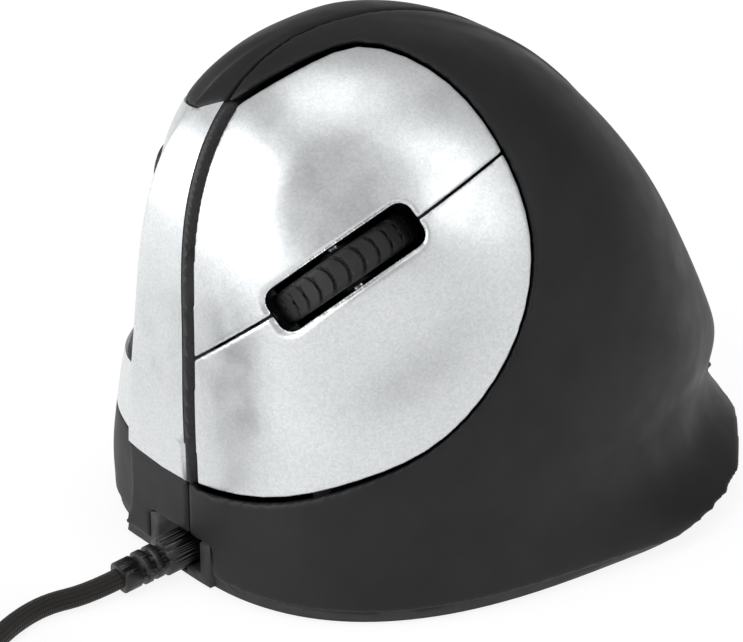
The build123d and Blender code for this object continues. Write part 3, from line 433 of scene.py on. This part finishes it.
# the piece, its finish, its slot and the body it rides on
smoothPieces = {
    "finger_shell": ("fingerShell", "softTouch", "soft_black", "mouse_body"),
    "thumb_shell": ("thumbShell", "softTouch", "soft_black", "mouse_body"),
    "ridge_strip": ("ridgeStrip", "strip", "grain_black", "mouse_body"),
    "index_button": ("indexButton", "silver", "silver", "index_button"),
    "middle_button": ("middleButton", "silver", "silver", "middle_button"),
    "thumb_panel": ("thumbPanel", "silver", "silver", "mouse_body"),
    "thumb_rest": ("thumbRest", "rest", "rubber_dark", "mouse_body"),
    "forward_button": ("forwardButton", "thumbKey", "gloss_grey", "forward_button"),
    "back_button": ("backButton", "thumbKey", "gloss_grey", "back_button"),
    "base_plate": ("basePlate", "base", "dark_grey", "mouse_body"),
    "strain_relief": ("strainRelief", "boot", "boot_black", "mouse_body"),
    "wheel_tyre": ("wheelTyre", "tyre", "wheel_rubber", "wheel"),
    "plug_grip": ("plugGrip", "boot", "boot_black", "mouse_body"),
}
pieces = {}
for node, (name, finish, slot, body) in smoothPieces.items():
    pieces[node] = smoothCopy(node, name, finish, body, softShading)
print("smooth pieces:", len(pieces))

# the rim under the little finger: the photo shows it drawn in a little further than the CAD form
rimForm = {**photoView, "start": 36, "run": 16, "top": 11, "fade": 15, "depth": 2.6, "tail": 53.0, "flatten": 0.25}


def drawInRim(piece, form):
    right = facing(form["azimuth"], form["elevation"]).col[0]
    origin = Vector(form["target"])
    for v in piece.data.vertices:
        place = v.co / mm
        if place.y > form["tail"]:
            v.co.y = (form["tail"] + (place.y - form["tail"]) * form["flatten"]) * mm
        share = ease(((place - origin).dot(right) - form["start"]) / form["run"])
        share *= 1 - ease((place.z - form["top"]) / form["fade"])
        v.co -= right * form["depth"] * share * mm


for node in ("finger_shell", "thumb_shell", "base_plate"):
    drawInRim(pieces[node], rimForm)


# the two main buttons: an even mesh, a shallow dish for each finger and a bevel round the wheel slot
# a dish is its middle, its length and width and its depth
panelForm = {
    **photoView, "voxel": 0.28, "smoothing": 4, "settle": 2, "outwardLeast": 0.25,
    "dishes": (((-10.0, 10.0), (12, 6.5), 1.0), ((-4.0, -13.5), (15, 8.0), 1.5)), "dishFalloff": 2.718,
    "slotCentre": (-10.4, -0.6), "slotTilt": 34.6, "slotHalf": (12.95, 3.7), "slotCorner": 2.2,
    "bevel": 1.0, "bevelDepth": 0.45,
}


def relax(piece, times):
    soften = piece.modifiers.new("soften", "SMOOTH")
    soften.factor = 0.5
    soften.iterations = times
    bpy.ops.object.modifier_apply(modifier="soften")


def evenMesh(piece, voxel, smoothing):
    selectOnly(piece)
    remesh = piece.modifiers.new("even", "REMESH")
    remesh.mode = "VOXEL"
    remesh.voxel_size = voxel * mm
    remesh.use_smooth_shade = True
    bpy.ops.object.modifier_apply(modifier="even")
    relax(piece, smoothing)


def dishDepth(x, y, tilt, form):
    depth = 0.0
    for (cx, cy), (long, wide), deep in form["dishes"]:
        a = ((x - cx) * cos(tilt) + (y - cy) * sin(tilt)) / long
        b = ((y - cy) * cos(tilt) - (x - cx) * sin(tilt)) / wide
        depth += deep * form["dishFalloff"] ** (-(a * a + b * b))
    return depth


def bevelDepth(x, y, tilt, form):
    slotX, slotY = form["slotCentre"]
    corner = form["slotCorner"]
    a = abs((x - slotX) * cos(tilt) + (y - slotY) * sin(tilt)) - form["slotHalf"][0] + corner
    b = abs((y - slotY) * cos(tilt) - (x - slotX) * sin(tilt)) - form["slotHalf"][1] + corner
    edge = (max(a, 0) ** 2 + max(b, 0) ** 2) ** 0.5 + min(max(a, b), 0) - corner
    share = 1 - max(edge, 0) / form["bevel"] if edge < form["bevel"] else 0
    return form["bevelDepth"] * share * share


def formButton(piece, form):
    evenMesh(piece, form["voxel"], form["smoothing"])
    right, up, out = facing(form["azimuth"], form["elevation"]).col
    origin = Vector(form["target"]) * mm
    tilt = radians(form["slotTilt"])
    moves = []
    for v in piece.data.vertices:
        if v.normal.dot(out) < form["outwardLeast"]:
            continue
        away = (v.co - origin) / mm
        x, y = away.dot(right), away.dot(up)
        moves.append((v.index, dishDepth(x, y, tilt, form) + bevelDepth(x, y, tilt, form)))
    for index, depth in moves:
        piece.data.vertices[index].co -= out * depth * mm
    relax(piece, form["settle"])


for node in ("index_button", "middle_button"):
    formButton(pieces[node], panelForm)
    setFinish(pieces[node], "silver")
shellMesh = {"voxel": 0.56, "smoothing": 8}
for node in ("finger_shell", "thumb_shell"):
    evenMesh(pieces[node], shellMesh["voxel"], shellMesh["smoothing"])
    setFinish(pieces[node], "softTouch")
print("shell faces:", len(pieces["finger_shell"].data.polygons), len(pieces["thumb_shell"].data.polygons))
print("button faces:", len(pieces["index_button"].data.polygons), len(pieces["middle_button"].data.polygons))

nodeFinishes = {
    "glide_feet": "feet", "base_screws": "screw", "frame_screws": "screw", "inner_frame": "frame", "hinge_pin": "pin",
    "finger_board": "board", "thumb_board": "board", "main_board": "board", "index_switch": "switch",
    "middle_switch": "switch", "click_switch": "switch", "forward_switch": "switch", "back_switch": "switch",
    "scroll_encoder": "switch", "index_plunger": "plunger", "middle_plunger": "plunger", "click_plunger": "plunger",
    "forward_plunger": "plunger", "back_plunger": "plunger", "wheel_hub": "frame", "wheel_axle": "pin",
    "wheel_carrier": "frame", "carrier_pin": "pin", "controller_chip": "chip", "sensor_chip": "chip",
    "sensor_lens": "lens", "board_connector": "plunger", "inner_cable": "boot", "finger_lead": "boot",
    "thumb_lead": "boot", "coil_tie": "band", "plug_shell": "plug", "plug_tongue": "tongue",
}
for node, finish in nodeFinishes.items():
    setFinish(nodes[node], finish)
print("node finishes:", len(nodeFinishes))

# floor and light: the floor glows a little to the camera and in reflections, so that it shows white
stage = {"size": 6.0, "drop": 0.05, "color": "#f4f4f4", "roughness": 0.9, "glow": 1.1, "glowShare": 0.78}
sky = {"strength": 0.42, "seenStrength": 1.0}


def addFloor(settings):
    bpy.ops.object.select_all(action="DESELECT")
    bpy.ops.mesh.primitive_plane_add(size=settings["size"], location=(0, 0, -settings["drop"] * mm))
    floor = bpy.context.active_object
    floor.name = "floor"
    material, tree, surface = newMaterial("paleFloor", settings["color"], settings["roughness"])
    shown = addNode(tree, "ShaderNodeEmission", {"Color": white, "Strength": settings["glow"]})
    path = addNode(tree, "ShaderNodeLightPath")
    rays = {0: (path, "Is Camera Ray"), 1: (path, "Is Glossy Ray")}
    seen = addNode(tree, "ShaderNodeMath", {"operation": "MAXIMUM"}, rays)
    part = addNode(tree, "ShaderNodeMath", {"operation": "MULTIPLY", 1: settings["glowShare"]}, {0: (seen, 0)})
    mix = addNode(tree, "ShaderNodeMixShader", {}, {0: (part, 0), 1: (surface, 0), 2: (shown, 0)})
    tree.links.new(mix.outputs[0], tree.nodes["Material Output"].inputs["Surface"])
    floor.data.materials.append(material)


def addWorld(settings):
    world = bpy.data.worlds.new("studio")
    bpy.context.scene.world = world
    world.use_nodes = True
    tree = world.node_tree
    light = tree.nodes["Background"]
    light.inputs["Color"].default_value = white
    light.inputs["Strength"].default_value = settings["strength"]
    bright = addNode(tree, "ShaderNodeBackground", {"Color": white, "Strength": settings["seenStrength"]})
    path = addNode(tree, "ShaderNodeLightPath")
    mix = addNode(tree, "ShaderNodeMixShader", {}, {0: (path, "Is Camera Ray"), 1: (light, 0), 2: (bright, 0)})
    tree.links.new(mix.outputs[0], tree.nodes["World Output"].inputs["Surface"])


def addLamp(name, place, aim, size, power):
    data = bpy.data.lights.new(name, "AREA")
    data.shape = "RECTANGLE"
    data.size, data.size_y = size
    data.energy = power
    lamp = bpy.data.objects.new(name, data)
    bpy.context.scene.collection.objects.link(lamp)
    lamp.location = place
    lamp.rotation_euler = (Vector(aim) - Vector(place)).to_track_quat("-Z", "Y").to_euler()


addFloor(stage)
addWorld(sky)
# a lamp's place, the point it aims at and its size in metres, and its power in watts
lamps = {
    "leftSoftbox": ((-0.1, -0.95, 0.32), (0, -0.02, 0.05), (0.9, 0.6), 6.5),
    "lowSoftbox": ((-0.48, -0.82, 0.13), (0, -0.02, 0.06), (0.8, 0.24), 2.2),
    "topSoftbox": ((0.15, -0.1, 0.95), (0, 0, 0.04), (0.7, 0.7), 2.0),
    "rightSoftbox": ((0.85, 0.15, 0.5), (0.02, 0, 0.04), (0.4, 0.7), 2.0),
}
for name, (place, aim, size, power) in lamps.items():
    addLamp(name, place, aim, size, power)
print("lamps:", len(lamps))
